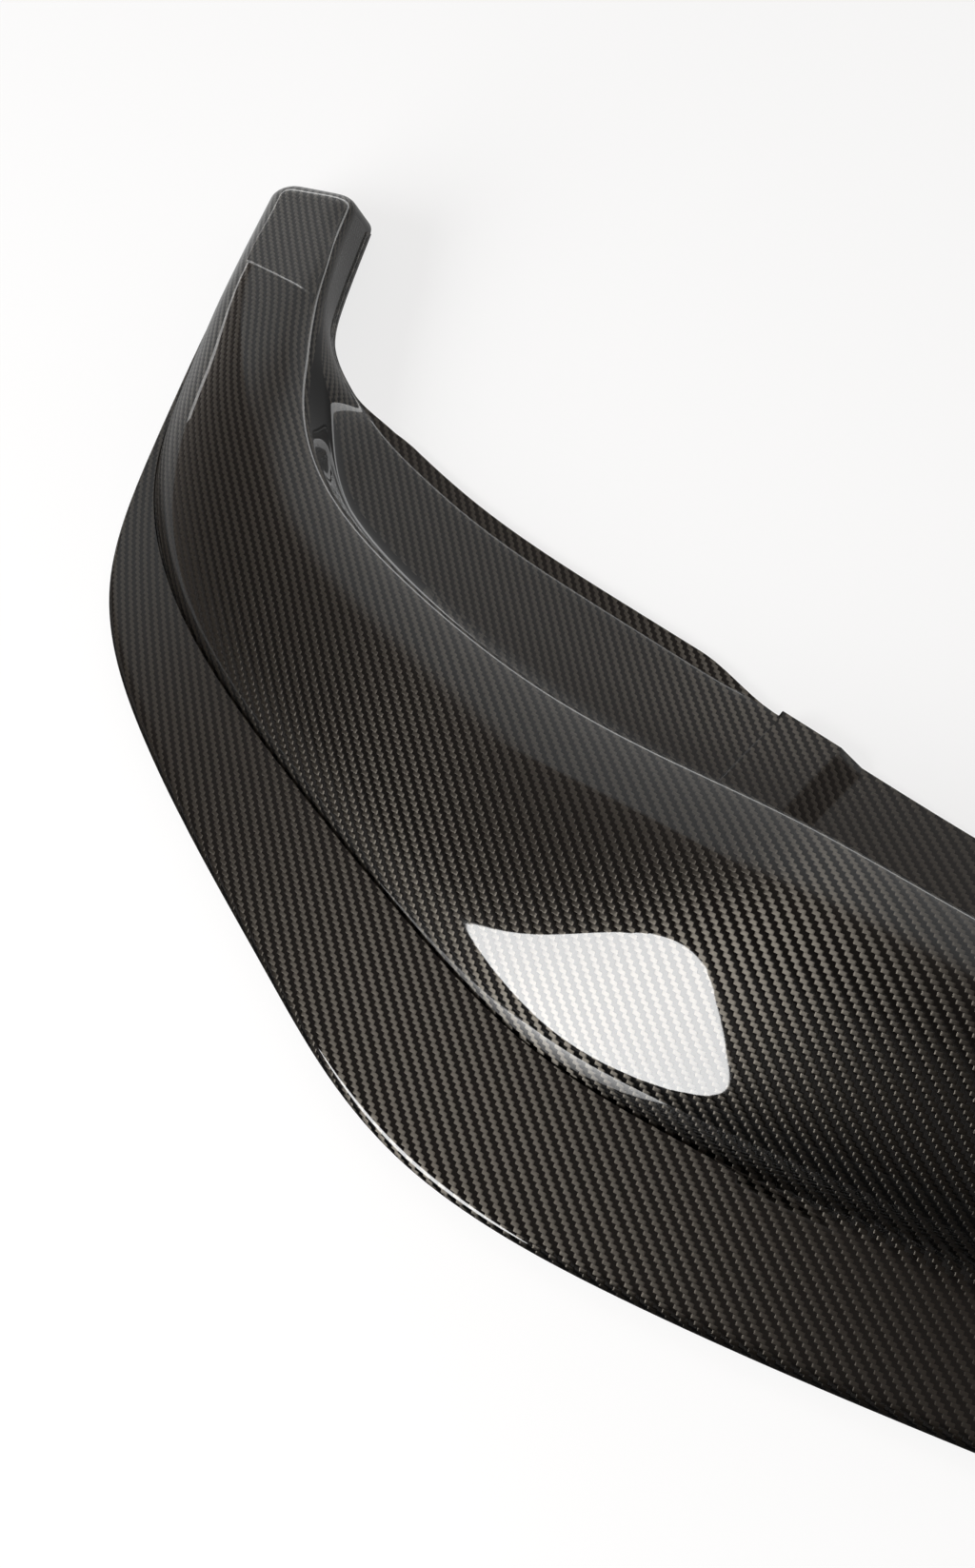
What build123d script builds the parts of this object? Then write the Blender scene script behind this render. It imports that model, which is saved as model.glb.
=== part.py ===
from build123d import *
from math import cos, radians, sin, tan
import os

# Front splitter lip, moulded as one laminate: a flat blade, an arched upper panel that ends in a ridge,
# a drafted wall behind it, a mounting flange and a horn at each end. Millimetres, +Z up, front towards -Y.

# Overall size
half_width = 880.0
horn_end = 571.0

# Laminate
shell = 3.0
blade_thickness = 10.0
horn_edge = 3.4

# Lines that the skin follows, seen from above: (inset from the widest point, distance behind the front edge).
# Each starts on the centre plane, at the distance given on its own, and ends at the horn's end.
front_line = ((551, 6), (405, 15), (323, 29), (294, 39), (254, 61), (202, 102), (150, 146), (98, 194),
              (40, 271), (20.5, 345), (14, 395), (7.5, 454))
crease_centre = 57.0
crease_line = ((534, 74), (386, 92), (329, 107), (261, 142), (175, 197), (91, 261), (50, 309), (23, 368),
               (17, 402), (10.8, 454))
horn_ledge = 3.2
flange_centre = 230.0
flange_line = ((482, 283), (431, 299), (367, 320), (280, 348), (196, 379), (152, 402), (117, 425))
flange_corner = (93, 447)
horn_inner_line = ((78, 468), (70, 498))
horn_inner_end = 62.0

# The ridge has a height as well: (inset, distance behind the front edge, height)
ridge_centre = (150.0, 95.0)
ridge_line = ((490, 192, 89), (414, 214, 83), (342, 239, 63), (268, 270, 42), (180, 313, 37), (115, 365, 37),
              (85, 421, 47), (73, 490, 51))
ridge_end = (65.0, 48.0)

# Section along the front, and the same sizes on the horn
foot_angle, horn_foot_angle = 78.0, 82.0
crown_share, horn_crown_share = 0.72, 0.34
crown_rise, horn_crown_rise = 6.0, -8.0
crown_tilt, horn_crown_tilt = 0.0, 14.0
arch_fullness, horn_fullness = 0.42, 0.55
ridge_round, horn_ridge_round = 1.5, 14.0

# The wall behind the ridge fades out within a share of the turn; the flange rises into the horn's inner face
wall_draft = 25.0
wall_fades = 0.55
wall_share = 0.35
wall_foot_round, horn_wall_foot_round = 8.0, 0.5

# The crease is sharp along the sides and opens into a soft hollow towards the middle
crease_round, middle_crease_round = 1.2, 12.0
crease_opens_from, crease_opens_to = 400.0, 550.0

# Stepped strip along the rear edge of the flange, between two insets
joggle = 2.0
joggle_run = 1.0
strip_width = 9.0
least_strip = 0.4
flange_lift = 0.5
strip_from, strip_to = 375.0, 104.0
strip_fade = 45.0

# Raised pads on the flange
pad_inset = 395.0
pad_width = 32.0
pad_rise = 5.5
pad_ramp = 12.0
pad_margin = 0.8
pad_seat = 2.5
pad_root = 0.75

# End of the horns
end_lean = 33.0
end_round = 12.0
least_round = 0.5
cap_seat, cap_gap = 0.3, 0.3
tab_inset, tab_back = 79.0, 455.0
tab_turn = 21.5
tab_drop = 0.8
tab_room = 60.0

# The spine that the sections stand on lies behind the flange and turns once, at this distance from its corner
spine_room = (41.0, 23.0)
turn_arc = 60.0
front_gap, horn_gap = 62.0, 44.0
turn_spans, cap_spans = 4, 3
halvings = 40

spine_x = half_width - flange_corner[0] - spine_room[0]
spine_y = flange_corner[1] + spine_room[1]
skin_end = horn_end - end_round
horn_length = skin_end - spine_y
flange_top = shell + joggle + flange_lift
front_spans = round(spine_x / front_gap)
horn_spans = round(horn_length / horn_gap)


def mix(first, last, share):
    return first + (last - first) * share


def ease(share):
    """Rises smoothly from 0 to 1 while the share does."""
    share = min(max(share, 0.0), 1.0)
    return share * share * (3 - 2 * share)


def guide(centre, points, end):
    """Smooth line in space that starts square to the centre plane and ends where the horn's cap begins."""
    places = [Vector(0, *centre)]
    places += [Vector(half_width - inset, *rest) for inset, *rest in points]
    places.append(Vector(half_width - end[0], skin_end, *end[1:]))
    leaving = places[-1] - places[-2]
    return Spline(places, tangents=[(1, 0, 0), (leaving.X, leaving.Y, 0)])


front_guide = guide((0,), front_line, (0,))
crease_guide = guide((crease_centre,), crease_line, (horn_ledge,))
ridge_guide = guide(ridge_centre, ridge_line, ridge_end)
flange_guide = guide((flange_centre,), (*flange_line, flange_corner, *horn_inner_line), (horn_inner_end,))


class Station:
    """Upright plane square to the spine: along the front, round the turn, then along the horn."""

    def __init__(self, across=spine_x, back=spine_y, angle=0.0):
        self.origin = Vector(across, back)
        self.outward = Vector(sin(radians(angle)), -cos(radians(angle)))
        self.travel = Vector(cos(radians(angle)), sin(radians(angle)))
        self.turn = ease(angle / 90)
        self.faded = ease(angle / 90 / wall_fades)
        self.length = across + turn_arc * angle / 90 + back - spine_y
        self.lean = tan(radians(end_lean)) * ease((back - spine_y) / horn_length)

    def value(self, front, horn):
        return mix(front, horn, self.turn)

    def crossing(self, line):
        """Distance from the spine, and height, at which a guide passes through this plane."""
        low, high = 0.0, 1.0
        for _ in range(halvings):
            middle = (low + high) / 2
            if (line @ middle - self.origin).dot(self.travel) < 0:
                low = middle
            else:
                high = middle
        place = line @ high
        return Vector((place - self.origin).dot(self.outward), place.Z)

    def place(self, point, side):
        """A point of the section in space, on the right (+1) or left (-1) half."""
        spot = self.origin + self.outward * point.X - self.travel * (point.Y * self.lean)
        return Vector(side * spot.X, spot.Y - horn_end / 2, point.Y)


def along(angle):
    """Direction that rises by the angle, from the outside towards the spine."""
    return Vector(-cos(radians(angle)), sin(radians(angle)))


def meet(first, direction, second, other):
    """Where two lines of the section cross."""
    gap = second - first
    reach = (gap.X * other.Y - gap.Y * other.X) / (direction.X * other.Y - direction.Y * other.X)
    return first + direction * reach


def toward(start, target, distance):
    return start + (target - start).normalized() * distance


def arch(foot, rise, crown, tilt, fullness):
    """Control points of the arched panel between its foot and its crown."""
    shoulder = meet(foot, rise, crown, tilt)
    return [foot, foot + (shoulder - foot) * fullness, crown + (shoulder - crown) * fullness, crown]


def inner_corner(corner, incoming, outgoing, thickness):
    """The corner moved inwards by a thickness from both of its sides."""
    first = Vector(-incoming.Y, incoming.X)
    second = Vector(-outgoing.Y, outgoing.X)
    return corner + (first + second) * (thickness / (1 + first.dot(second)))


class Section:
    """The points of the laminate in one station's plane, as (distance from the spine, height)."""

    def __init__(self, station):
        self.station = station
        self.edge = station.crossing(front_guide).X
        crease = station.crossing(crease_guide).X
        self.ridge = station.crossing(ridge_guide)
        self.flange = station.crossing(flange_guide).X

        self.thick = mix(blade_thickness, horn_edge, station.faded)
        self.rise = along(station.value(foot_angle, horn_foot_angle))
        self.level = along(station.value(crown_tilt, horn_crown_tilt))
        self.fullness = station.value(arch_fullness, horn_fullness)

        inset = half_width - station.length
        opened = ease((inset - crease_opens_from) / (crease_opens_to - crease_opens_from))
        self.fillet = mix(crease_round, middle_crease_round, opened)
        self.crease = Vector(crease, self.thick)
        self.foot = self.crease + self.rise * self.fillet

        # The crown moves outwards late in the turn
        share = mix(crown_share, horn_crown_share, station.turn ** 2)
        height = self.ridge.Y + station.value(crown_rise, horn_crown_rise)
        self.crown = Vector(mix(crease, self.ridge.X, share), height)
        half_land = (self.crown.X - self.ridge.X) / 2
        self.land = self.crown + self.level * (half_land / -self.level.X)

        drafted = self.ridge.X - (self.ridge.Y - flange_top) * tan(radians(wall_draft))
        self.step = Vector(self.flange, flange_top)
        straight = mix(self.ridge, self.step, wall_share)
        self.wall_foot = mix(Vector(drafted, flange_top), straight, station.faded)

    def strip_share(self):
        """1 along the stepped strip, fading to 0 at its two ends."""
        start, end = half_width - strip_from, half_width - strip_to
        length = self.station.length
        return ease((length - start) / strip_fade) * ease((end - length) / strip_fade)

    def hollow(self, thickness):
        """The line a thickness below the skin, from the blade's underside up and over to the flange."""
        land_way = (self.ridge - self.land).normalized()
        wall_way = (self.wall_foot - self.ridge).normalized()
        foot = self.foot + Vector(-self.rise.Y, self.rise.X) * thickness
        crown = self.crown + Vector(-self.level.Y, self.level.X) * thickness
        low = foot - self.rise * (foot.Y / self.rise.Y)
        land = inner_corner(self.land, self.level, land_way, thickness)
        ridge = inner_corner(self.ridge, land_way, wall_way, thickness)
        wall = inner_corner(self.wall_foot, wall_way, (self.step - self.wall_foot).normalized(), thickness)
        return low, foot, crown, land, ridge, wall

    def spots(self, side, *points):
        return [self.station.place(point, side) for point in points]

    def outline(self, side):
        """Closed outline, from the blade's edge over the panel to the flange and back underneath."""
        under = Vector(self.edge - self.thick / 2, 0)
        nose = Vector(self.edge, self.thick / 2)
        over = Vector(self.edge - self.thick / 2, self.thick)
        blade_end = self.crease + Vector(self.fillet, 0)
        panel = arch(self.foot, self.rise, self.crown, self.level, self.fullness)

        ridge_size = self.station.value(ridge_round, horn_ridge_round)
        ridge_in = toward(self.ridge, self.land, ridge_size)
        ridge_out = toward(self.ridge, self.wall_foot, ridge_size)
        foot_size = mix(wall_foot_round, horn_wall_foot_round, self.station.faded)
        wall_in = toward(self.wall_foot, self.ridge, foot_size)
        wall_out = toward(self.wall_foot, self.step, foot_size)

        share = self.strip_share()
        step_low = Vector(self.flange - joggle_run, flange_top - joggle * share)
        rear = step_low - Vector(least_strip + strip_width * share, 0)
        down = Vector(0, -shell)
        low, foot, crown, land, ridge, wall = self.hollow(shell)
        inner_panel = arch(foot, self.rise, crown, self.level, self.fullness)

        return Wire([
            ThreePointArc(*self.spots(side, under, nose, over)),
            Line(*self.spots(side, over, blade_end)),
            Bezier(*self.spots(side, blade_end, self.crease, self.foot)),
            Bezier(*self.spots(side, *panel)),
            Bezier(*self.spots(side, self.crown, self.land, ridge_in)),
            Bezier(*self.spots(side, ridge_in, self.ridge, ridge_out)),
            Line(*self.spots(side, ridge_out, wall_in)),
            Bezier(*self.spots(side, wall_in, self.wall_foot, wall_out)),
            Line(*self.spots(side, wall_out, self.step)),
            Line(*self.spots(side, self.step, step_low)),
            Line(*self.spots(side, step_low, rear)),
            Line(*self.spots(side, rear, rear + down)),
            Line(*self.spots(side, rear + down, step_low + down)),
            Line(*self.spots(side, step_low + down, self.step + down)),
            Line(*self.spots(side, self.step + down, wall)),
            Line(*self.spots(side, wall, ridge)),
            Bezier(*self.spots(side, ridge, land, crown)),
            Bezier(*self.spots(side, *reversed(inner_panel))),
            Line(*self.spots(side, foot, low)),
            Line(*self.spots(side, low, under)),
        ])

    def inset_outline(self, inset):
        """The skin's line drawn in by an inset, and closed just above the bottom."""
        low, _, crown, land, ridge, _ = self.hollow(inset)
        low += Vector(0, mix(cap_gap, 0, inset / end_round))
        foot = low + self.rise * mix(self.foot.Y / self.rise.Y, least_round, inset / end_round)
        wall = meet(ridge, self.wall_foot - self.ridge, low, Vector(1, 0))
        panel = arch(foot, self.rise, crown, self.level, self.fullness)
        ridge_size = max(horn_ridge_round - inset, least_round)
        ridge_in = toward(ridge, land, ridge_size)
        ridge_out = toward(ridge, wall, ridge_size)
        return Wire([
            Line(*self.spots(1, low, foot)),
            Bezier(*self.spots(1, *panel)),
            Bezier(*self.spots(1, crown, land, ridge_in)),
            Bezier(*self.spots(1, ridge_in, ridge, ridge_out)),
            Line(*self.spots(1, ridge_out, wall)),
            Line(*self.spots(1, wall, low)),
        ])


def skin():
    """The laminate from the centre plane to the right horn's end."""
    front = [Section(Station(across=spine_x * i / front_spans)) for i in range(front_spans)]
    turn = [Section(Station(angle=90 * i / turn_spans)) for i in range(turn_spans)]
    steps = [spine_y + horn_length * i / horn_spans for i in range(horn_spans + 1)]
    horn = [Section(Station(back=step, angle=90)) for step in steps]
    wires = [front[1].outline(-1)] + [each.outline(1) for each in front + turn + horn]
    return split(Solid.make_loft(wires), bisect_by=Plane.YZ, keep=Keep.TOP), horn


def horn_cap(last):
    """Solid end of the horn, rounded all round, which starts a little inside the skin."""
    wires = []
    for i in range(cap_spans + 1):
        angle = radians(90 * i / cap_spans)
        outline = last.inset_outline(mix(cap_gap, end_round, 1 - cos(angle)))
        wires.append(Pos(0, mix(-cap_seat, end_round, sin(angle)), 0) * outline)
    return Solid.make_loft(wires)


def tab_recess(first, last):
    """The space over the horn's stepped-down tab, which starts at a slanting line across the top."""
    back, outer = last.spots(1, last.ridge, last.crown)
    climb = last.ridge - first.ridge
    normal = (outer - back).cross(Vector(climb.X, horn_length, climb.Y)).normalized()
    across = Vector(cos(radians(tab_turn)), sin(radians(tab_turn)))
    way = (across - normal * across.dot(normal)).normalized()
    line = Vector(half_width - tab_inset, tab_back - horn_end / 2)
    height = back.Z + (back - line).dot(Vector(normal.X, normal.Y)) / normal.Z
    corner = Vector(line.X, line.Y, height) - way * tab_room / 2 - normal * tab_drop
    floor = Plane(origin=corner, x_dir=way, z_dir=normal)
    return floor * Box(2 * tab_room, 2 * tab_room, tab_room / 2, align=(Align.MIN, Align.MIN, Align.MIN))


def pad():
    """Raised pad on the flange: a sharp side towards the horn, a ramp towards the middle."""
    middle = half_width - pad_inset
    sections = [Section(Station(across=middle + reach)) for reach in (-pad_width, pad_width)]
    rear = [each.spots(1, Vector(each.flange, 0))[0] for each in sections]
    front = [each.spots(1, Vector(each.wall_foot.X, 0))[0] for each in sections]
    along_rear = (rear[1] - rear[0]).normalized()
    along_front = (front[1] - front[0]).normalized()
    back = Vector(-along_rear.Y, along_rear.X)
    centre = (rear[0] + rear[1]) / 2
    sides = [centre - along_rear * (pad_width / 2 + pad_ramp), centre + along_rear * pad_width / 2]
    ends = [meet(each, back, front[0], along_front) - back * pad_seat for each in sides]
    corners = [sides[0] - back * pad_margin, sides[1] - back * pad_margin, ends[1], ends[0]]
    base = Pos(0, 0, flange_top - pad_root) * make_face(Polyline(*corners, close=True))
    block = extrude(base, amount=pad_rise + pad_root)
    slope = Vector(0, 0, 1) * pad_ramp - along_rear * pad_rise
    ramp = Plane(origin=sides[0] + Vector(0, 0, flange_top - pad_root / 2), x_dir=back, z_dir=slope)
    return split(block, bisect_by=ramp, keep=Keep.BOTTOM)


half_lip, horn_sections = skin()
half_lip += horn_cap(horn_sections[-1])
half_lip -= tab_recess(horn_sections[0], horn_sections[-1])
half_lip += pad()
lip = half_lip + mirror(half_lip, about=Plane.YZ)

os.makedirs("parts", exist_ok=True)
export_step(lip, "parts/splitter_lip.step")
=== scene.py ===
from collections import namedtuple
from math import cos, pi, radians, sin, tan

import bmesh
import bpy
import numpy as np
from mathutils import Matrix, Quaternion, Vector


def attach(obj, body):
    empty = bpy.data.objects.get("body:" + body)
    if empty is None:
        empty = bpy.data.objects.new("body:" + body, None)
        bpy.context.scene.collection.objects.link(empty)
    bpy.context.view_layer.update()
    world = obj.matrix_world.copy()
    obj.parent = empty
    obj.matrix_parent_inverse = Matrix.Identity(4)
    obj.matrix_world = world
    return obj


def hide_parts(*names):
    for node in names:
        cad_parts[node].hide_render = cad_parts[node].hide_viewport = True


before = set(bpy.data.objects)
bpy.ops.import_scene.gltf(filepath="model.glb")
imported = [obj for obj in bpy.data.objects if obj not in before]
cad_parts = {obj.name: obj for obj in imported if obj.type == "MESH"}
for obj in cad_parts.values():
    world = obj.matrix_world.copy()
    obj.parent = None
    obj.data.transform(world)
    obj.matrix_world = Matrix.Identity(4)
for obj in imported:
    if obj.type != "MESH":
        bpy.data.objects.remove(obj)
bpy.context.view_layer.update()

# Front splitter lip as a fine mesh over the same lines as the solid, with the weave laid along it.
# The lip's sizes are millimetres and degrees; mesh, floor, lamps and the camera's place are metres.
metre = 0.001

# Overall size and laminate
half_width = 880.0
horn_end = 571.0
shell = 3.0
blade_thickness = 10.0
horn_edge = 3.4

# Lines that the skin follows, seen from above: (inset from the widest point, distance behind the front edge)
front_line = ((551, 6), (405, 15), (323, 29), (294, 39), (254, 61), (202, 102), (150, 146), (98, 194),
              (40, 271), (20.5, 345), (14, 395), (7.5, 454))
crease_centre = 57.0
crease_line = ((534, 74), (386, 92), (329, 107), (261, 142), (175, 197), (91, 261), (50, 309), (23, 368),
               (17, 402), (10.8, 454))
horn_ledge = 3.2
flange_centre = 230.0
flange_line = ((482, 283), (431, 299), (367, 320), (280, 348), (196, 379), (152, 402), (117, 425))
flange_corner = (93, 447)
horn_inner_line = ((78, 468), (70, 498))
horn_inner_end = 62.0

# The ridge has a height as well: (inset, distance behind the front edge, height)
ridge_centre = (150.0, 95.0)
ridge_line = ((490, 192, 89), (414, 214, 83), (342, 239, 63), (268, 270, 42), (180, 313, 37), (115, 365, 37),
              (85, 421, 47), (73, 490, 51))
ridge_end = (65.0, 48.0)

# Section along the front, and the same sizes on the horn
foot_angle, horn_foot_angle = 78.0, 82.0
crown_share, horn_crown_share = 0.72, 0.34
crown_rise, horn_crown_rise = 6.0, -8.0
crown_tilt, horn_crown_tilt = 0.0, 14.0
arch_fullness, horn_fullness = 0.42, 0.55
wall_foot_round, horn_wall_foot_round = 8.0, 0.5

# The ridge's edge is rounder along the front than on the solid, to carry its line of light
ridge_round, horn_ridge_round = 4.0, 14.0

# The crease is sharp towards the horns, and opens between these insets towards the lip's middle
crease_round, middle_crease_round = 1.2, 12.0
crease_opens_from, crease_opens_to = 400.0, 550.0

# The wall behind the ridge fades out within a share of the turn; the flange rises into the horn's inner face
wall_draft = 25.0
wall_share = 0.35
wall_fades = 0.55

# Stepped strip, pads and horn ends
joggle = 2.0
joggle_run = 1.0
strip_width = 9.0
least_strip = 0.4
flange_lift = 0.5
strip_from, strip_to = 375.0, 104.0
strip_fade = 45.0
pad_inset = 395.0
pad_width = 32.0
pad_rise = 5.5
pad_ramp = 12.0
end_lean = 33.0
end_round = 12.0
least_round = 0.5
tab_inset, tab_back = 79.0, 455.0
tab_turn = 21.5
tab_drop = 0.8

# Small forms that the solid leaves out: the groove along the crease, rounded steps and the strip's rise
groove_depth = 1.8
step_round = 2.5
strip_rise = 0.8
pad_edge = 2.0
tab_edge = 2.4
tab_blend = 0.6

# The spine that the sections stand on
spine_room = (41.0, 23.0)
turn_arc = 60.0
spine_x = half_width - flange_corner[0] - spine_room[0]
spine_y = flange_corner[1] + spine_room[1]
skin_end = horn_end - end_round
horn_length = skin_end - spine_y
flange_top = shell + joggle + flange_lift
turn_end = spine_x + turn_arc
whole_length = turn_end + horn_length

# Lengths along the spine between which the pad stands
pad_middle = half_width - pad_inset
pad_starts = pad_middle - pad_width / 2 - pad_ramp
pad_stops = pad_middle + pad_width / 2

# Fineness of the mesh: samples of each line, gaps between rows, and rows of the turn and the cap
line_samples = 4000
front_step, turn_steps, horn_step, cap_steps = 6.0, 72, 2.5, 8

# Decimals of a row's length, distance at which points are one, and angle from which an edge is sharp
length_digits = 3
same_point = 0.001 * metre
sharp_angle = 38.0

# Closer rows over the pad's ramp, over its steep end and at the front of the tab: their reach and their gaps
ramp_room, ramp_step = 3.0, 1.5
stop_before, stop_after, stop_step = 2.0, 4.0, pad_edge / 8
tab_before, tab_after, tab_step = 2.0, 5.0, tab_edge / 12
least_row_gap = tab_edge / 16

# Rows slant to cross the flange squarely, which grows from the lip's middle and fades before the turn
slant_grows, slant_fades = 60.0, 640.0

# Rows near the tab move so that one of them lies along the tab's front edge
shift_reach, shift_past, shift_fade = 40.0, 15.0, 30.0
shift_samples = 161

# Weave: the map's name, tow spacing, tows in a repeat of the map and of the twill, and middles of the floats
cloth_layer = "OFBake"
tow = 2.0
map_tows = 32
twill_repeat, tows_over = 4.0, 2.0
fore_middle, side_middle = 1.0, 3.0

# How the cloth follows the front edge's sweep: where its turn begins, the turn per millimetre, the last angle
upper_sweep = (310.0, radians(0.0585), radians(40))
flange_sweep = (336.0, radians(0.106), radians(29))

# Painted shade: the corner behind the turn, which lies in shade, shows no weave, as its cloth is shrunk onto
# the middle of one tow painted near black
shaded_pocket_from, shaded_pocket_to = 690.0, turn_end + 5.0
shaded_pocket_spot = (tow / 2, 3 * tow / 2)
shaded_pocket_shrink = 0.0005

# Look of the carbon: colours that paint light and shade, shape of a tow, bump in metres, and shine of the
# fibres and of the clear coat
# Painted light and shade on one fibre: a lit colour for the cross tows, painted shade near black on the
# fore-and-aft tows
side_lit_colour, gap_shade_colour = (0.076, 0.069, 0.059, 1), (0.006, 0.0056, 0.0052, 1)
fore_shade_colour = (0.005, 0.0047, 0.0045, 1)
# Painted shade: the cross tows fade to near black at their floats' edges and ends, between these heights
shade_ends, lit_full = 0.1, 0.4
tow_power, float_power = 4.0, 5.0
bump_strength, bump_depth = 0.6, 0.00025
fibre_roughness = 0.44
highlight_turn = 0.972
coat_roughness, coat_index = 0.02, 1.5

# Floor: half its size, its grey in the room and in reflections, and its glow to the camera
floor_reach = 40.0
floor_grey, mirrored_grey = (0.25, 0.25, 0.25, 1), (0.05, 0.05, 0.05, 1)
floor_glow = 0.75

# Painted light: share of the floor's glow that reflections get on the left and behind, and where each begins
# and is full
left_share, left_slope, left_begins, left_full = 0.55, 0.25, 0.87, 0.95
behind_share, behind_begins, behind_full = 0.25, 0.1, 0.16

# Light of the room behind the lip and in front of it, and of the bright wall low down behind it
back_light, front_light, wall_light = 0.40, 0.03, 0.42
room_colour, wall_colour = (1, 0.86, 0.77, 1), (1, 1, 1, 1)

# Where the wall's light begins and is full: towards its side, and by how steeply one looks up at it
wall_slope, wall_begins, wall_full = 1.2, 0.0, 0.06
wall_top, wall_full_below = 2.0, 1.1
least_depth = 0.01

# Lamps: shape, place, target, roll in degrees, size and the brightness that they show
front_softbox = dict(shape="ELLIPSE", place=(-1.742, -1.567, 0.783), target=(-0.53, -0.155, 0.05),
                     roll=45, size=(0.85, 2.2), glow=17)
back_strip = dict(shape="RECTANGLE", place=(-1.5, 1.45, 0.14), target=(-1.5, 0.0, 0.14),
                  roll=0, size=(6.0, 0.24), glow=2.2)

# Camera: place, turn and downward look in degrees, lens and sensor in millimetres
camera_place = (-0.420, -0.5765, 0.866)
camera_turn, camera_pitch = 21.0, 57.0
camera_lens, camera_sensor = 49.68, 36.0


def mix(first, last, share):
    return first + (last - first) * share


def ease(share):
    """Rises smoothly from 0 to 1 while the share does."""
    share = np.clip(share, 0.0, 1.0)
    return share * share * (3 - 2 * share)


def smooth_line(points, first_way, last_way):
    """Even samples of the smooth curve through the points, which leaves and arrives in the given ways."""
    points = np.array(points, float)
    steps = np.linalg.norm(np.diff(points, axis=0), axis=1)
    slopes = np.diff(points, axis=0) / steps[:, None]
    count = len(points)
    system = np.eye(count)
    ways = np.zeros_like(points)
    ways[0] = first_way / np.linalg.norm(first_way)
    ways[-1] = last_way / np.linalg.norm(last_way)
    for i in range(1, count - 1):
        before, after = steps[i - 1], steps[i]
        system[i, i - 1:i + 2] = after, 2 * (before + after), before
        ways[i] = 3 * (after * slopes[i - 1] + before * slopes[i])
    ways = np.linalg.solve(system, ways)
    knots = np.concatenate([[0], np.cumsum(steps)])
    at = np.linspace(0, knots[-1], line_samples)
    i = np.clip(np.searchsorted(knots, at, side="right") - 1, 0, count - 2)
    size = steps[i][:, None]
    share = (at - knots[i])[:, None] / size
    rest = 1 - share
    from_start = points[i] * (1 + 2 * share) * rest ** 2 + size * ways[i] * share * rest ** 2
    to_end = points[i + 1] * share * share * (3 - 2 * share) - size * ways[i + 1] * share * share * rest
    return from_start + to_end


class Guide:
    """A line of the skin, read as distance out from the spine and height at any length along the spine."""

    def __init__(self, centre, points, end):
        places = [(0.0, *centre)]
        places += [(half_width - inset, *rest) for inset, *rest in points]
        places.append((half_width - end[0], skin_end, *end[1:]))
        places = np.array(places)
        first_way = np.zeros(places.shape[1])
        first_way[0] = 1.0
        last_way = places[-1] - places[-2]
        last_way[2:] = 0.0
        samples = smooth_line(places, first_way, last_way)
        x, y = samples[:, 0], samples[:, 1]
        on_front = x <= spine_x
        on_horn = y >= spine_y
        angle = np.arctan2(x - spine_x, spine_y - y)
        length_on_turn = spine_x + turn_arc * angle / (pi / 2)
        reach_on_turn = np.hypot(x - spine_x, y - spine_y)
        self.length = np.where(on_front, x, np.where(on_horn, turn_end + y - spine_y, length_on_turn))
        self.reach = np.where(on_front, spine_y - y, np.where(on_horn, x - spine_x, reach_on_turn))
        self.height = samples[:, 2] if samples.shape[1] > 2 else np.zeros(len(x))

    def out(self, length):
        return np.interp(length, self.length, self.reach)

    def up(self, length):
        return np.interp(length, self.length, self.height)


front_guide = Guide((0,), front_line, (0,))
crease_guide = Guide((crease_centre,), crease_line, (horn_ledge,))
ridge_guide = Guide(ridge_centre, ridge_line, ridge_end)
flange_guide = Guide((flange_centre,), (*flange_line, flange_corner, *horn_inner_line), (horn_inner_end,))


def pair(out, up):
    return np.stack(np.broadcast_arrays(out, up), axis=-1)


def along(angle):
    """Direction that rises by the angle, from the outside towards the spine."""
    return pair(-np.cos(np.radians(angle)), np.sin(np.radians(angle)))


def scaled(way, size):
    return way * np.asarray(size)[..., None]


def unit(way):
    return way / np.linalg.norm(way, axis=-1, keepdims=True)


def toward(start, target, distance):
    return start + scaled(unit(target - start), distance)


def left(way):
    return pair(-way[..., 1], way[..., 0])


def meet(first, way, second, other):
    """Where two lines of the section cross."""
    gap = second - first
    reach = (gap[..., 0] * other[..., 1] - gap[..., 1] * other[..., 0]) / (
        way[..., 0] * other[..., 1] - way[..., 1] * other[..., 0])
    return first + scaled(way, reach)


def inner_corner(corner, incoming, outgoing, thickness):
    """The corner moved inwards by a thickness from both of its sides."""
    first, second = left(incoming), left(outgoing)
    return corner + scaled(first + second, thickness / (1 + (first * second).sum(-1)))


def curve(points, share):
    """Bezier curve with these control points, at shares of its way."""
    points = [np.asarray(point) for point in points]
    share = np.asarray(share)[..., None]
    while len(points) > 1:
        points = [mix(first, last, share) for first, last in zip(points, points[1:])]
    return points[0]


# Corners of the line that runs a thickness below the skin
Hollow = namedtuple("Hollow", "low foot crown land ridge wall")


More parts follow.
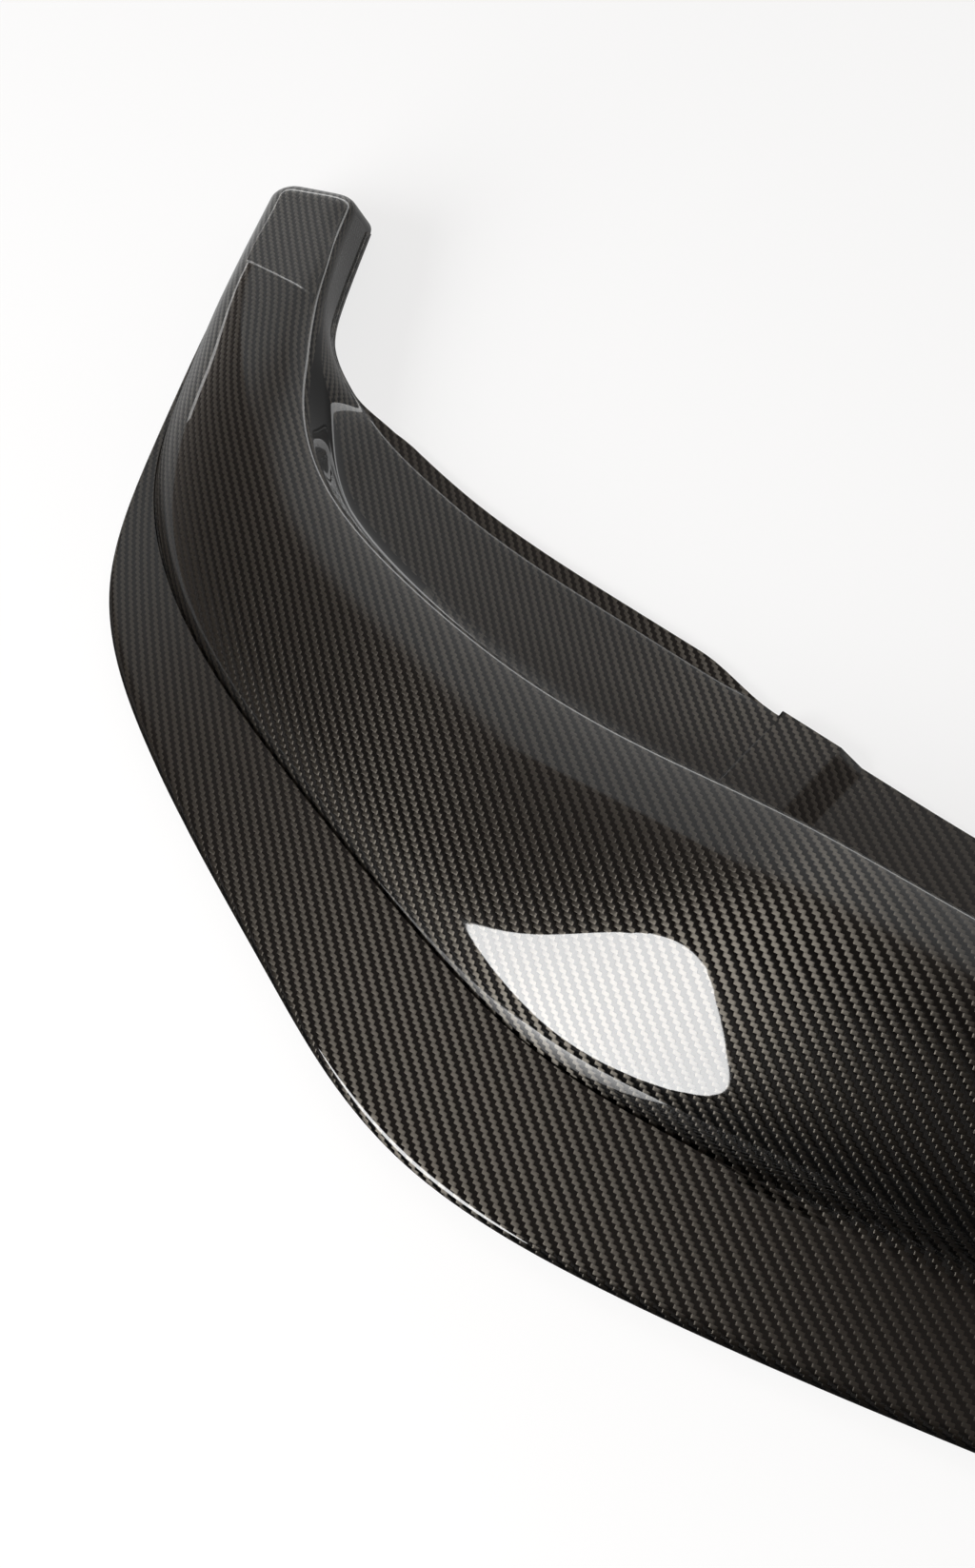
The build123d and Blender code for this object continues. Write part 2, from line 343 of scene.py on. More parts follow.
class Section:
    """Points of the laminate at lengths along the spine, each as (distance out from the spine, height)."""

    def __init__(self, length, pad=0.0):
        self.length = length = np.asarray(length, float)
        self.turn = turn = ease((length - spine_x) / turn_arc)
        crease = crease_guide.out(length)
        self.ridge = pair(ridge_guide.out(length), ridge_guide.up(length))
        self.flange = flange_guide.out(length)
        self.top = flange_top + pad

        self.faded = ease((length - spine_x) / (turn_arc * wall_fades))
        self.thick = mix(blade_thickness, horn_edge, self.faded)
        self.nose_back = front_guide.out(length) - self.thick / 2
        self.rise = along(mix(foot_angle, horn_foot_angle, turn))
        self.level = along(mix(crown_tilt, horn_crown_tilt, turn))
        self.fullness = mix(arch_fullness, horn_fullness, turn)
        opened = ease((half_width - length - crease_opens_from) / (crease_opens_to - crease_opens_from))
        self.fillet = mix(crease_round, middle_crease_round, opened)
        self.crease = pair(crease, self.thick)
        self.foot = self.crease + scaled(self.rise, self.fillet)

        # The crown moves outwards late in the turn
        inwards = mix(crown_share, horn_crown_share, turn * turn)
        height = self.ridge[..., 1] + mix(crown_rise, horn_crown_rise, turn)
        self.crown = pair(mix(crease, self.ridge[..., 0], inwards), height)
        half_land = (self.crown[..., 0] - self.ridge[..., 0]) / 2
        self.land = self.crown + scaled(self.level, half_land / -self.level[..., 0])
        drafted = self.ridge[..., 0] - (self.ridge[..., 1] - self.top) * tan(radians(wall_draft))
        straight = mix(self.ridge, pair(self.flange, self.top), wall_share)
        self.wall_foot = mix(pair(drafted, self.top), straight, self.faded[..., None])

        self.ridge_size = mix(ridge_round, horn_ridge_round, turn)
        self.foot_size = mix(wall_foot_round, horn_wall_foot_round, self.faded)
        start, end = half_width - strip_from, half_width - strip_to
        self.strip = ease((length - start) / strip_fade) * ease((end - length) / strip_fade)

    def arch(self, foot, crown):
        """Control points of the panel's curve from its foot to its crown."""
        shoulder = meet(foot, self.rise, crown, self.level)
        after_foot = foot + scaled(shoulder - foot, self.fullness)
        before_crown = crown + scaled(shoulder - crown, self.fullness)
        return [foot, after_foot, before_crown, crown]

    def hollow(self, thickness):
        """The line a thickness below the skin, from the blade's underside up and over to the flange."""
        land_way = unit(self.ridge - self.land)
        wall_way = unit(self.wall_foot - self.ridge)
        back = unit(self.step_point() - self.wall_foot)
        foot = self.foot + left(self.rise) * thickness
        return Hollow(
            low=foot - scaled(self.rise, foot[..., 1] / self.rise[..., 1]),
            foot=foot,
            crown=self.crown + left(self.level) * thickness,
            land=inner_corner(self.land, self.level, land_way, thickness),
            ridge=inner_corner(self.ridge, land_way, wall_way, thickness),
            wall=inner_corner(self.wall_foot, wall_way, back, thickness),
        )

    # Corners between the stretches
    def blade_end(self):
        return self.crease + pair(self.fillet, 0.0)

    def land_end(self):
        return toward(self.ridge, self.land, self.ridge_size)

    def wall_start(self):
        return toward(self.ridge, self.wall_foot, self.ridge_size)

    def wall_end(self):
        return toward(self.wall_foot, self.ridge, self.foot_size)

    def flange_start(self):
        return toward(self.wall_foot, self.step_point(), self.foot_size)

    def flange_end(self):
        return toward(self.step_point(), self.flange_start(), step_round)

    def step_point(self):
        return pair(self.flange, self.top)

    def step_low(self):
        return pair(self.flange - joggle_run, self.top - joggle * self.strip)

    def rear(self):
        return self.step_low() - pair(least_strip + strip_width * self.strip, -strip_rise * self.strip)

    def strip_base(self, corner):
        """The corner moved down to the strip's underside."""
        return pair(corner[..., 0], flange_lift + joggle * (1 - self.strip))

    def flange_base(self):
        return pair(self.flange, flange_top - shell)

    # Stretches over the top, from the front edge back to the flange's rear edge
    def nose(self, share):
        turned = pi * (np.asarray(share) - 0.5)
        size = self.thick / 2
        return pair(self.nose_back + size * np.cos(turned), size + size * np.sin(turned))

    def blade(self, share):
        return curve([pair(self.nose_back, self.thick), self.blade_end()], share)

    def crease_bend(self, share):
        return curve([self.blade_end(), self.crease, self.foot], share)

    def panel(self, share):
        return curve(self.arch(self.foot, self.crown), share)

    def land_top(self, share):
        return curve([self.crown, self.land, self.land_end()], share)

    def ridge_bend(self, share):
        return curve([self.land_end(), self.ridge, self.wall_start()], share)

    def wall(self, share):
        return curve([self.wall_start(), self.wall_end()], share)

    def wall_bend(self, share):
        return curve([self.wall_end(), self.wall_foot, self.flange_start()], share)

    def flange_face(self, share):
        return curve([self.flange_start(), self.flange_end()], share)

    def step(self, share):
        return curve([self.flange_end(), self.step_point(), self.step_low()], share)

    def strip_face(self, share):
        return curve([self.step_low(), self.rear()], share)

    def rear_edge(self, share):
        return curve([self.rear(), self.strip_base(self.rear())], share)

    # Stretches underneath, from the rear edge forward
    def under_strip(self, share):
        return curve([self.strip_base(self.rear()), self.strip_base(self.step_low())], share)

    def under_step(self, share):
        return curve([self.strip_base(self.step_low()), self.flange_base()], share)

    def under_flange(self, share):
        return curve([self.flange_base(), self.hollow(shell).wall], share)

    def under_wall(self, share):
        hollow = self.hollow(shell)
        return curve([hollow.wall, hollow.ridge], share)

    def under_land(self, share):
        hollow = self.hollow(shell)
        return curve([hollow.ridge, hollow.land, hollow.crown], share)

    def under_panel(self, share):
        hollow = self.hollow(shell)
        return curve(list(reversed(self.arch(hollow.foot, hollow.crown))), share)

    def under_foot(self, share):
        hollow = self.hollow(shell)
        return curve([hollow.foot, hollow.low], share)

    def under_blade(self, share):
        return curve([self.hollow(shell).low, pair(self.nose_back, 0.0)], share)


# The stretches of one section, in order, with the number of faces across each
faces_across = {
    Section.nose: 12,
    Section.blade: 12,
    Section.crease_bend: 6,
    Section.panel: 40,
    Section.land_top: 16,
    Section.ridge_bend: 6,
    Section.wall: 8,
    Section.wall_bend: 6,
    Section.flange_face: 12,
    Section.step: 5,
    Section.strip_face: 3,
    Section.rear_edge: 2,
    Section.under_strip: 1,
    Section.under_step: 1,
    Section.under_flange: 3,
    Section.under_wall: 3,
    Section.under_land: 5,
    Section.under_panel: 12,
    Section.under_foot: 1,
    Section.under_blade: 3,
}
over_horn = (Section.panel, Section.land_top, Section.ridge_bend)
behind_flange = (Section.step, Section.strip_face, Section.rear_edge, Section.under_strip, Section.under_step)


def column_of(stretch):
    """The column of points at which a stretch begins."""
    order = list(faces_across)
    return sum(faces_across[earlier] for earlier in order[:order.index(stretch)])


column_count = sum(faces_across.values())
crease_column = column_of(Section.crease_bend)
crown_column = column_of(Section.land_top)
ridge_column = column_of(Section.ridge_bend) + faces_across[Section.ridge_bend] // 2
wall_column = column_of(Section.wall)
flange_column = column_of(Section.flange_face)
step_column = column_of(Section.step)


def shares(count):
    """Even shares from 0 towards 1, where the next stretch begins."""
    return np.linspace(0, 1, count, endpoint=False)


def slant(length):
    """How far a row across the flange moves towards the middle on its way back, to cross it squarely."""
    section = Section(length)
    slope = np.gradient(-flange_guide.out(length), length)
    depth = section.wall_foot[..., 0] - section.foot_size - section.flange
    faded = ease((length - slant_fades) / (spine_x - slant_fades))
    return slope * depth * (1 - faded) * ease(length / slant_grows)


def row_lengths():
    """Lengths along the spine at which the mesh has a row, closer together at the pad and the tab."""
    front = np.linspace(0, spine_x, round(spine_x / front_step) + 1)
    turn = np.linspace(spine_x, turn_end, turn_steps + 1)
    horn = np.linspace(turn_end, whole_length, round(horn_length / horn_step) + 1)
    ramp = np.arange(pad_starts - ramp_room, pad_starts + pad_ramp + ramp_room, ramp_step)
    stop = np.arange(pad_stops - stop_before, pad_stops + stop_after, stop_step)
    pad = np.concatenate([ramp, stop])
    pad += slant(pad + slant(pad))
    tab = turn_end + np.arange(-tab_before, tab_after, tab_step)
    every = np.unique(np.round(np.concatenate([front, turn, horn, pad, tab]), length_digits))
    keep = [every[0]]
    for length in every[1:]:
        if length - keep[-1] > least_row_gap:
            keep.append(length)
    return np.array(keep)


def pad_height(length):
    up = np.clip((length - pad_starts) / pad_ramp, 0, 1)
    down = ease((length - pad_stops) / pad_edge)
    return pad_rise * up * (1 - down)


def behind_tab_line(place):
    """Distance behind the line at which the horn's top steps down."""
    x, y = place[..., 0] - (half_width - tab_inset), place[..., 1] - tab_back
    return y * cos(radians(tab_turn)) - x * sin(radians(tab_turn))


def directions(length):
    """Outward and along the spine, seen from above."""
    angle = np.clip((length - spine_x) / turn_arc, 0, 1) * (pi / 2)
    return np.stack([np.sin(angle), -np.cos(angle)], -1), np.stack([np.cos(angle), np.sin(angle)], -1)


def placed(length, out, up):
    """Points in space, with the sections leaning forward towards the horn's end."""
    outward, travel = directions(length)
    spine = np.stack([np.minimum(length, spine_x), spine_y + np.maximum(length - turn_end, 0)], -1)
    lean = tan(radians(end_lean)) * ease((length - turn_end) / horn_length)
    spot = spine + scaled(outward, out) - scaled(travel, up * lean)
    return np.concatenate([spot, np.asarray(up)[..., None]], axis=-1)


def lowered_tab(place):
    """The outer skin with the horn's top lowered behind a slanting line, down to a flat floor."""
    first, last = Section(np.array(turn_end)), Section(np.array(whole_length))
    back, outer = (placed(last.length, *corner) for corner in (last.ridge, last.crown))
    climb = last.ridge - first.ridge
    normal = np.cross(outer - back, (climb[0], horn_length, climb[1]))
    floor = back[2] - ((place[..., :2] - back[:2]) @ normal[:2]) / normal[2] - tab_drop
    above = np.maximum(place[..., 2] - floor, 0)
    drop = ease(behind_tab_line(place) / tab_edge) * above * above / (above + tab_blend)
    place[:, :flange_column, 2] -= drop[:, :flange_column]
    return place


def closed(columns):
    """The columns, with the first one again at the end."""
    return np.concatenate([columns, columns[:, :1]], axis=1)


class Skin:
    """Rows of points over the half of the lip on the +X side, and the place of each point on the cloth."""

    def __init__(self):
        self.rows = row_lengths()
        self.across_flange = slant(self.rows)[:, None]
        self.pad = pad_height(self.rows[:, None] - self.across_flange)
        shifts = [self.shift(stretch, shares(count)) for stretch, count in faces_across.items()]
        straight = np.repeat(self.rows[:, None], column_count, axis=1)
        self.straight_out, self.straight_up = self.sections(straight)
        self.length = np.clip(straight + np.concatenate(shifts, axis=1), 0, whole_length)
        self.out, self.up = self.sections(self.length)
        self.lay_cloth()

    def shift(self, stretch, share):
        """How far the points of a stretch move along the spine from the length of their row."""
        if stretch is Section.flange_face:
            return -self.across_flange * share
        if stretch in behind_flange:
            return -self.across_flange * np.ones_like(share)
        if stretch is Section.under_flange:
            return -self.across_flange * (1 - share)
        if stretch in over_horn:
            return self.tab_shift(stretch, share)
        return np.zeros((len(self.rows), len(share)))

    def tab_shift(self, stretch, share):
        """Moves the rows near the tab so that one of them lies along its slanting front edge."""
        lengths = np.linspace(turn_end - shift_reach, turn_end + shift_reach, shift_samples)
        section = Section(np.broadcast_to(lengths[:, None], (len(lengths), len(share))))
        points = stretch(section, np.broadcast_to(share, section.length.shape))
        place = placed(section.length, points[..., 0], points[..., 1])
        behind = behind_tab_line(place)
        crossing = np.array([np.interp(0, behind[:, i], lengths) for i in range(len(share))])
        begun = ease((self.rows - turn_end + shift_reach) / shift_fade)
        ended = ease((self.rows - turn_end - shift_past) / shift_fade)
        return (begun * (1 - ended))[:, None] * (crossing - turn_end)

    def sections(self, length):
        """Distance out and height of every point, for rows that pass over the given lengths."""
        points = []
        first = 0
        for stretch, count in faces_across.items():
            at = length[:, first:first + count]
            share = np.broadcast_to(shares(count), at.shape)
            points.append(stretch(Section(at, self.pad), share))
            first += count
        points = np.concatenate(points, axis=1)
        return points[..., 0], points[..., 1]

    def groove(self):
        """How far each point sinks into the groove along the crease, which fades where the crease opens."""
        at = Section(self.length[:, crease_column])
        fade = (middle_crease_round - at.fillet) / (middle_crease_round - crease_round) * (1 - at.turn)
        bend = faces_across[Section.crease_bend]
        across = np.zeros(column_count)
        across[crease_column:crease_column + bend] = np.sin(pi * np.arange(bend) / bend)
        return groove_depth * fade[:, None] * across

    def places(self):
        return lowered_tab(placed(self.length, self.out, self.up - self.groove()))

    def lay_cloth(self):
        """Where each point lies on the cloths of the upper skin, the wall behind the ridge and the flange."""
        out, up = closed(self.straight_out), closed(self.straight_up)
        steps = np.hypot(np.diff(out, axis=1), np.diff(up, axis=1))
        walked = np.concatenate([np.zeros((len(self.rows), 1)), np.cumsum(steps, axis=1)], axis=1)
        slack = walked + out
        turn = ease((self.rows - spine_x) / turn_arc)[:, None]
        held = mix(slack[:, [crease_column]], slack[:, [crown_column]], turn)
        self.upper_cloth = self.laid_cloth(slack - held)
        self.wall_cloth = self.hung_cloth(walked - walked[:, [ridge_column]])
        self.flange_cloth = self.laid_cloth(slack - slack[:, [step_column]])

    def moved(self, measure):
        """A measure of the straight sections, read at the lengths of the slanting rows."""
        length = closed(self.length)
        columns = [np.interp(length[:, i], self.rows, measure[:, i]) for i in range(measure.shape[1])]
        return np.stack(columns, axis=1)

    def laid_cloth(self, slack):
        """Cloth laid on from above, moved inwards by the extra length that the skin's slopes take up."""
        length = closed(self.length)
        plan = placed(length, closed(self.out), closed(self.up))[..., :2]
        outward, _ = directions(length)
        return plan - scaled(outward, self.moved(slack))

    def hung_cloth(self, down):
        """Cloth hung down from the ridge, with its shaded corner shrunk onto one tow painted near black, as
        painted shade.
        """
        ridge = placed(self.rows, self.straight_out[:, ridge_column], self.straight_up[:, ridge_column])
        travelled = np.concatenate([[0], np.cumsum(np.linalg.norm(np.diff(ridge, axis=0), axis=1))])
        length = closed(self.length)
        cloth = pair(np.interp(length, self.rows, travelled), self.moved(down))
        # Painted shade: the pocket's cloth sits on one tow painted near black
        in_shaded_pocket = ((length > shaded_pocket_from) & (length <= shaded_pocket_to))[..., None]
        return np.where(in_shaded_pocket, shaded_pocket_spot + cloth * shaded_pocket_shrink, cloth)


def cap_loop(inset):
    """One closed loop of the horn's rounded end, as points (out, up) drawn in by an inset."""
    last = Section(np.array(whole_length))
    low, _, crown, land, ridge, _ = last.hollow(inset)
    foot = low + last.rise * mix(last.foot[1] / last.rise[1], least_round, inset / end_round)
    wall = meet(ridge, last.wall_foot - last.ridge, low, np.array([1.0, 0.0]))
    size = max(horn_ridge_round - inset, least_round)
    ridge_in, ridge_out = toward(ridge, land, size), toward(ridge, wall, size)
    lines = (
        ([low, foot], (Section.nose, Section.blade, Section.crease_bend)),
        (last.arch(foot, crown), (Section.panel,)),
        ([crown, land, ridge_in], (Section.land_top,)),
        ([ridge_in, ridge, ridge_out], (Section.ridge_bend,)),
        ([ridge_out, wall], (Section.wall, Section.wall_bend)),
    )
    points = [curve(line, shares(sum(faces_across[each] for each in group))) for line, group in lines]
    points.append(curve([wall, low], shares(column_count - flange_column)))
    return np.concatenate(points)


def horn_cap():
    """Places of the loops that round off the horn's end, and their distances behind the skin's end."""
    angles = [pi / 2 * i / cap_steps for i in range(cap_steps + 1)]
    loops = np.array([cap_loop(end_round * (1 - cos(angle))) for angle in angles])
    behind = np.array([end_round * sin(angle) for angle in angles])
    out, up = loops[..., 0], loops[..., 1]
    back = skin_end + behind[:, None] - up * tan(radians(end_lean))
    return lowered_tab(np.stack([spine_x + out, back, up], -1)), behind


def cloth_map(flat, sweep_from, sweep_rate, most_sweep):
    """Cloth in repeats of the map. One set of tows runs fore and aft, the other follows the sweep."""
    across, back = flat[..., 0], flat[..., 1]
    swept = np.clip(np.abs(across) - sweep_from, 0, most_sweep / sweep_rate)
    beyond = np.maximum(np.abs(across) - sweep_from, 0) - swept
    angle = swept * sweep_rate
    u = np.minimum(np.abs(across), sweep_from) + np.log(1 / np.cos(angle) + np.tan(angle)) / sweep_rate
    v = back + np.log(np.cos(angle)) / sweep_rate
    u += beyond / np.cos(most_sweep)
    v -= beyond * np.tan(most_sweep)
    return np.stack([np.sign(across) * u, v], -1) / (tow * map_tows)


def both_halves(cloth, behind):
    """The cloth's places over both halves and on to the horns' ends."""
    ends = np.array([cloth[-1] + (0, far) for far in behind])
    half = np.concatenate([cloth, ends])
    return np.concatenate([half[:0:-1] * (-1, 1), half])


def face_grid(rows):
    """Row and column of the first corner of each four-sided face."""
    return np.meshgrid(np.arange(rows - 1), np.arange(column_count), indexing="ij")


def tube_faces(rows):
    """Four-sided faces round a tube of points, and one face to close each end."""
    row, column = face_grid(rows)
    beside = (column + 1) % column_count
    here, onward = row * column_count, (row + 1) * column_count
    quads = np.stack([here + column, onward + column, onward + beside, here + beside], -1).reshape(-1, 4)
    first_end = list(range(column_count))
    last_end = list(range(rows * column_count - 1, (rows - 1) * column_count - 1, -1))
    return quads.tolist() + [first_end, last_end]


def map_cloth(mesh, skin, behind):
    """Gives each face its place on one of three cloths: the upper skin's, the wall's or the flange's."""
    cloths = np.array([
        cloth_map(both_halves(skin.upper_cloth, behind), *upper_sweep),
        both_halves(skin.wall_cloth, behind) / (tow * map_tows),
        cloth_map(both_halves(skin.flange_cloth, behind), *flange_sweep),
    ])
    rows = cloths.shape[1]
    row, column = face_grid(rows)
    horn_rows = len(behind) + np.count_nonzero(skin.rows > turn_end)
    middle = (rows - 1) / 2
    on_horn = np.abs(np.arange(rows - 1) - middle) > middle - horn_rows
    upper = np.where(on_horn[:, None], step_column, wall_column)
    island = np.select([column < upper, column < flange_column], [0, 1], 2)
    corner_island = np.repeat(island.reshape(-1), 4)
    corner_row = np.stack([row, row + 1, row + 1, row], -1).reshape(-1)
    corner_column = np.stack([column, column, column + 1, column + 1], -1).reshape(-1)
    quad_cloth = cloths[corner_island, corner_row, corner_column]
    end_cloth = np.concatenate([cloths[0][0, :-1], cloths[0][-1, -2::-1]])
    layer = mesh.uv_layers.new(name=cloth_layer)
    layer.data.foreach_set("uv", np.concatenate([quad_cloth, end_cloth]).astype(np.float32).ravel())


def join_same_points(mesh):
    """Joins the skin's last row to the cap where they share points, so no face without area is left."""
    joined = bmesh.new()
    joined.from_mesh(mesh)
    bmesh.ops.remove_doubles(joined, verts=joined.verts, dist=same_point)
    joined.to_mesh(mesh)
    joined.free()
    mesh.update()


def make_lip():
    """The whole lip as one closed mesh, from the end of one horn to the end of the other."""
    skin = Skin()
    cap, behind = horn_cap()
    half = np.concatenate([skin.places(), cap])
    half[..., 1] -= horn_end / 2
    other = half[:0:-1] * (-1, 1, 1)
    points = np.concatenate([other, half]) * metre
    mesh = bpy.data.meshes.new("lip_skin")
    mesh.from_pydata(points.reshape(-1, 3).tolist(), [], tube_faces(len(points)))
    map_cloth(mesh, skin, behind)
    join_same_points(mesh)
    mesh.shade_smooth()
    mesh.set_sharp_from_angle(angle=radians(sharp_angle))
    piece = bpy.data.objects.new("lip_skin", mesh)
    bpy.context.collection.objects.link(piece)
    return piece


class Nodes:
    """Short way to write a node tree."""

    # Places of a mix node's two values and its result, for each kind of value
    mix_sockets = {"FLOAT": (2, 3, 0), "VECTOR": (4, 5, 1), "RGBA": (6, 7, 2)}

    def __init__(self, tree):
        self.tree = tree
        tree.nodes.clear()

    def add(self, kind, **settings):
        node = self.tree.nodes.new(kind)
        for name, value in settings.items():
            setattr(node, name, value)
        return node

    def feed(self, socket, value):
        if isinstance(value, bpy.types.NodeSocket):
            self.tree.links.new(value, socket)
        else:
            socket.default_value = value

    def math(self, operation, *values):
        node = self.add("ShaderNodeMath", operation=operation)
        for socket, value in zip(node.inputs, values):
            self.feed(socket, value)
        return node.outputs[0]

    def blend(self, share, first, last, kind="FLOAT"):
        node = self.add("ShaderNodeMix", data_type=kind)
        first_socket, last_socket, result = self.mix_sockets[kind]
        self.feed(node.inputs[0], share)
        self.feed(node.inputs[first_socket], first)
        self.feed(node.inputs[last_socket], last)
        return node.outputs[result]

    def ramp(self, value, begins, full):
        """Goes smoothly from 0 to 1 while the value goes from where it begins to where it is full."""
        node = self.add("ShaderNodeMapRange", interpolation_type="SMOOTHSTEP")
        self.feed(node.inputs["Value"], value)
        self.feed(node.inputs["From Min"], begins)
        self.feed(node.inputs["From Max"], full)
        return node.outputs[0]

    def split(self, vector):
        node = self.add("ShaderNodeSeparateXYZ")
        self.feed(node.inputs[0], vector)
        return node.outputs

    def show(self, kind, surface):
        """Joins a shader to the tree's output."""
        self.feed(self.add(kind).inputs[0], surface)


def twill(nodes):
    """Carbon twill, two over and two under: where fore-and-aft tows show, and the height of what shows."""
    place = nodes.split(nodes.add("ShaderNodeUVMap", uv_map=cloth_layer).outputs[0])
    u = nodes.math("MULTIPLY", place[0], float(map_tows))
    v = nodes.math("MULTIPLY", place[1], float(map_tows))
    u_tow, v_tow = nodes.math("FLOOR", u), nodes.math("FLOOR", v)
    repeat = nodes.math("FLOORED_MODULO", nodes.math("ADD", u_tow, v_tow), twill_repeat)
    fore_shows = nodes.math("LESS_THAN", repeat, tows_over)

    # Place on the float that shows: across it and along it, both from -1 to 1
    fore_across = nodes.math("MULTIPLY_ADD", nodes.math("FRACT", u), 2.0, -1.0)
    side_across = nodes.math("MULTIPLY_ADD", nodes.math("FRACT", v), 2.0, -1.0)
    fore_repeat = nodes.math("FLOORED_MODULO", nodes.math("ADD", v, u_tow), twill_repeat)
    side_repeat = nodes.math("FLOORED_MODULO", nodes.math("ADD", u, v_tow), twill_repeat)
    fore_along = nodes.math("SUBTRACT", fore_repeat, fore_middle)
    side_along = nodes.math("SUBTRACT", side_repeat, side_middle)
    across = nodes.math("ABSOLUTE", nodes.blend(fore_shows, side_across, fore_across))
    lengthwise = nodes.math("ABSOLUTE", nodes.blend(fore_shows, side_along, fore_along))

    across_bow = nodes.math("SUBTRACT", 1.0, nodes.math("POWER", across, tow_power))
    length_bow = nodes.math("SUBTRACT", 1.0, nodes.math("POWER", lengthwise, float_power))
    rounded = nodes.math("SQRT", nodes.math("MAXIMUM", across_bow, 0.0))
    height = nodes.math("MULTIPLY", rounded, nodes.math("MAXIMUM", length_bow, 0.0))
    return fore_shows, height


def fibre_spread(nodes, fore_shows):
    """The direction in which the fibres that show spread light, across their own length."""
    way = nodes.add("ShaderNodeTangent", direction_type="UV_MAP", uv_map=cloth_layer).outputs[0]
    square = nodes.add("ShaderNodeVectorMath", operation="CROSS_PRODUCT")
    nodes.feed(square.inputs[0], nodes.add("ShaderNodeNewGeometry").outputs["Normal"])
    nodes.feed(square.inputs[1], way)
    return nodes.blend(fore_shows, square.outputs[0], way, "VECTOR")


def carbon_material():
    """Carbon twill below a clear coat, with painted light and shade in its colours."""
    material = bpy.data.materials.new("carbon_twill")
    material.use_nodes = True
    nodes = Nodes(material.node_tree)
    fore_shows, height = twill(nodes)
    bump = nodes.add("ShaderNodeBump")
    bump.inputs["Strength"].default_value = bump_strength
    bump.inputs["Distance"].default_value = bump_depth
    nodes.feed(bump.inputs["Height"], height)

    shader = nodes.add("ShaderNodeBsdfPrincipled")
    # Painted light and shade: cross tows lit, fading to painted shade at their edges and ends; fore-and-aft
    # tows in painted shade
    tone = nodes.blend(nodes.ramp(height, shade_ends, lit_full), gap_shade_colour, side_lit_colour, "RGBA")
    nodes.feed(shader.inputs["Base Color"], nodes.blend(fore_shows, tone, fore_shade_colour, "RGBA"))
    shader.inputs["Metallic"].default_value = 1.0
    shader.inputs["Roughness"].default_value = fibre_roughness
    shader.inputs["Anisotropic"].default_value = 1.0
    shader.inputs["Anisotropic Rotation"].default_value = highlight_turn
    nodes.feed(shader.inputs["Tangent"], fibre_spread(nodes, fore_shows))
    nodes.feed(shader.inputs["Normal"], bump.outputs[0])
    shader.inputs["Coat Weight"].default_value = 1.0
    shader.inputs["Coat Roughness"].default_value = coat_roughness
    shader.inputs["Coat IOR"].default_value = coat_index
    nodes.show("ShaderNodeOutputMaterial", shader.outputs[0])
    return material


def floor_material():
    """Pale floor that shows white to the camera, with painted light in reflections only: it glows on the left
    and behind.
    """
    material = bpy.data.materials.new("white_floor")
    material.use_nodes = True
    nodes = Nodes(material.node_tree)
    path = nodes.add("ShaderNodeLightPath")
    mirror = path.outputs["Is Glossy Ray"]
    diffuse = nodes.add("ShaderNodeBsdfDiffuse")
    nodes.feed(diffuse.inputs[0], nodes.blend(mirror, floor_grey, mirrored_grey, "RGBA"))

    x, y, _ = nodes.split(nodes.add("ShaderNodeNewGeometry").outputs["Position"])
    # Painted light: the floor glows in reflections only, more on the left and behind
    to_left = nodes.math("MULTIPLY_ADD", y, left_slope, nodes.math("MULTIPLY", x, -1.0))
    on_left = nodes.math("MULTIPLY", nodes.ramp(to_left, left_begins, left_full), left_share)
    behind = nodes.math("MULTIPLY", nodes.ramp(y, behind_begins, behind_full), behind_share)
    mirrored = nodes.math("MULTIPLY", mirror, nodes.math("MAXIMUM", on_left, behind))
    seen = nodes.math("MAXIMUM", path.outputs["Is Camera Ray"], mirrored)
    glow = nodes.add("ShaderNodeEmission")
    nodes.feed(glow.inputs[1], nodes.math("MULTIPLY", seen, floor_glow))

    both = nodes.add("ShaderNodeAddShader")
    nodes.feed(both.inputs[0], diffuse.outputs[0])
    nodes.feed(both.inputs[1], glow.outputs[0])
    nodes.show("ShaderNodeOutputMaterial", both.outputs[0])
    return material


def white_floor():
    """The floor under the lip, which takes its shadow."""
    mesh = bpy.data.meshes.new("floor")
    corners = [(-1, -1, 0), (1, -1, 0), (1, 1, 0), (-1, 1, 0)]
    mesh.from_pydata([Vector(corner) * floor_reach for corner in corners], [], [(0, 1, 2, 3)])
    mesh.materials.append(floor_material())
    floor = bpy.data.objects.new("floor", mesh)
    bpy.context.collection.objects.link(floor)


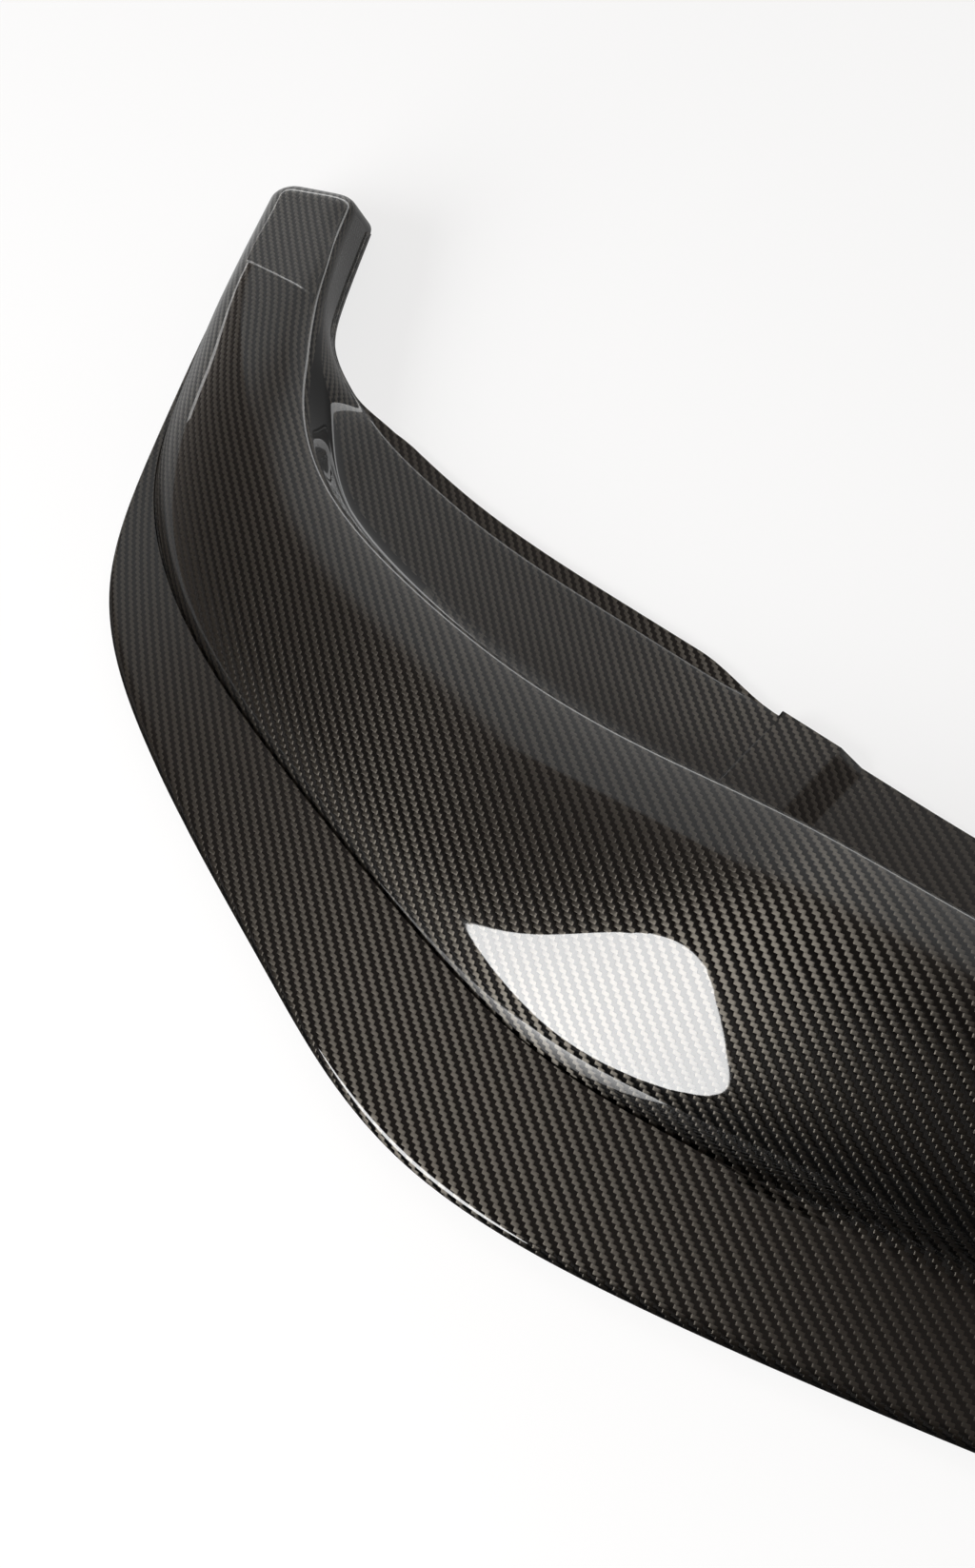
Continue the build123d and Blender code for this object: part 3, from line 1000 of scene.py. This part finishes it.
def studio_light():
    """A dim room that is darker in front of the lip than behind it, with a bright wall low down behind."""
    world = bpy.data.worlds.new("studio")
    bpy.context.scene.world = world
    world.use_nodes = True
    nodes = Nodes(world.node_tree)
    x, y, z = nodes.split(nodes.add("ShaderNodeTexCoord").outputs["Generated"])
    room = nodes.math("MULTIPLY_ADD", y, (back_light - front_light) / 2, (back_light + front_light) / 2)
    side = nodes.ramp(nodes.math("MULTIPLY_ADD", y, wall_slope, x), wall_begins, wall_full)
    steepness = nodes.math("DIVIDE", z, nodes.math("MAXIMUM", y, least_depth))
    wall = nodes.math("MULTIPLY", side, nodes.ramp(steepness, wall_top, wall_full_below))
    level = nodes.math("MULTIPLY_ADD", wall, wall_light, room)
    seen = nodes.add("ShaderNodeLightPath").outputs["Is Camera Ray"]
    back = nodes.add("ShaderNodeBackground")
    whiteness = nodes.math("MAXIMUM", wall, seen)
    nodes.feed(back.inputs[0], nodes.blend(whiteness, room_colour, wall_colour, "RGBA"))
    nodes.feed(back.inputs[1], nodes.blend(seen, level, 1.0))
    nodes.show("ShaderNodeOutputWorld", back.outputs[0])


def softbox(name, shape, place, target, roll, size, glow):
    """An even panel of light that faces the target, with the brightness that it shows."""
    lamp = bpy.data.lights.new(name, "AREA")
    lamp.shape = shape
    lamp.size, lamp.size_y = size
    area = size[0] * size[1] * (pi / 4 if shape == "ELLIPSE" else 1)
    lamp.energy = glow * pi * area
    thing = bpy.data.objects.new(name, lamp)
    thing.location = place
    facing = (Vector(target) - Vector(place)).to_track_quat("-Z", "Y")
    thing.rotation_euler = (facing @ Quaternion((0, 0, 1), radians(roll))).to_euler()
    bpy.context.collection.objects.link(thing)


def camera():
    """The photograph's view, looking down at the half of the lip on the -X side."""
    lens = bpy.data.cameras.new("camera")
    lens.sensor_width = camera_sensor
    lens.lens = camera_lens
    thing = bpy.data.objects.new("camera", lens)
    turned, pitch = radians(camera_turn), radians(camera_pitch)
    right = Vector((cos(turned), sin(turned), 0))
    ahead = Vector((-sin(turned) * cos(pitch), cos(turned) * cos(pitch), -sin(pitch)))
    up = right.cross(ahead)
    facing = Matrix((right, up, -ahead)).transposed().to_4x4()
    thing.matrix_world = Matrix.Translation(camera_place) @ facing
    bpy.context.collection.objects.link(thing)
    bpy.context.scene.camera = thing


lip = make_lip()
lip.data.materials.append(carbon_material())
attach(lip, "root")
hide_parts("splitter_lip")
white_floor()
studio_light()
softbox("front_softbox", **front_softbox)
softbox("back_strip", **back_strip)
camera()
bpy.context.scene.view_settings.view_transform = "Standard"
